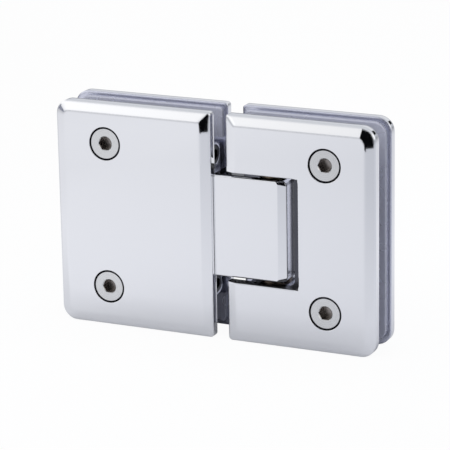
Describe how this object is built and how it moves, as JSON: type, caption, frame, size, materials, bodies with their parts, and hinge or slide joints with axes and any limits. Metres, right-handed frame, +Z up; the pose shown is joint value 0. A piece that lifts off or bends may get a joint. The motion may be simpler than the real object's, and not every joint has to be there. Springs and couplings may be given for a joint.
{
  "type": "glass door hinge",
  "caption": "Self-centring glass-to-glass door hinge: two bevelled chrome clamps for panes edge to edge, with a knuckle in a U-shaped cut-out that swings a quarter turn each way.",
  "frame": {"origin": "middle of the base on which both clamps stand, at mid-width and mid-depth of the hinge with its leaves in line", "axes": "+Z up along the pin, +X from the fixed clamp to the moving clamp, -Y towards the side with the screw heads"},
  "size_m": [0.1334, 0.023, 0.09],
  "materials": {
    "polished_chrome": "mirror-polished chrome plate on brass",
    "clear_gasket": "clear soft plastic sheet",
    "bush": "plain turned",
    "satin_steel": "satin stainless",
    "steel": "ground and oiled"
  },
  "bodies": {
    "fixed_clamp": {"fixed_front_plate": "polished_chrome", "fixed_rear_plate": "polished_chrome", "fixed_front_gasket": "clear_gasket", "fixed_rear_gasket": "clear_gasket", "pivot_block": "polished_chrome", "upper_thrust_bush": "bush", "lower_thrust_bush": "bush", "upper_block_screw": "steel", "lower_block_screw": "steel", "upper_spring": "steel", "lower_spring": "steel", "fixed_upper_clamp_screw": "satin_steel", "fixed_lower_clamp_screw": "satin_steel"},
    "moving_clamp": {"moving_front_plate": "polished_chrome", "moving_rear_plate": "polished_chrome", "moving_front_gasket": "clear_gasket", "moving_rear_gasket": "clear_gasket", "pivot_pin": "steel", "upper_pin_set_screw": "steel", "lower_pin_set_screw": "steel", "moving_upper_clamp_screw": "satin_steel", "moving_lower_clamp_screw": "satin_steel"},
    "upper_plunger": {"upper_plunger": "steel"},
    "lower_plunger": {"lower_plunger": "steel"}
  },
  "joints": [
    {"name": "swing", "type": "hinge", "parent": "fixed_clamp", "child": "moving_clamp", "pos_m": [0.02175, 0, 0.045], "axis": [0, 0, 1], "range_deg": [-90, 90]},
    {"name": "upper_plunger_travel", "type": "slide", "parent": "fixed_clamp", "child": "upper_plunger", "axis": [1, 0, 0], "range_m": [0, 0.00062], "stiffness_N_per_m": 2000, "springref_m": 0.006, "deforming": ["upper_spring"]},
    {"name": "lower_plunger_travel", "type": "slide", "parent": "fixed_clamp", "child": "lower_plunger", "axis": [1, 0, 0], "range_m": [0, 0.00062], "stiffness_N_per_m": 2000, "springref_m": 0.006, "deforming": ["lower_spring"]}
  ]
}
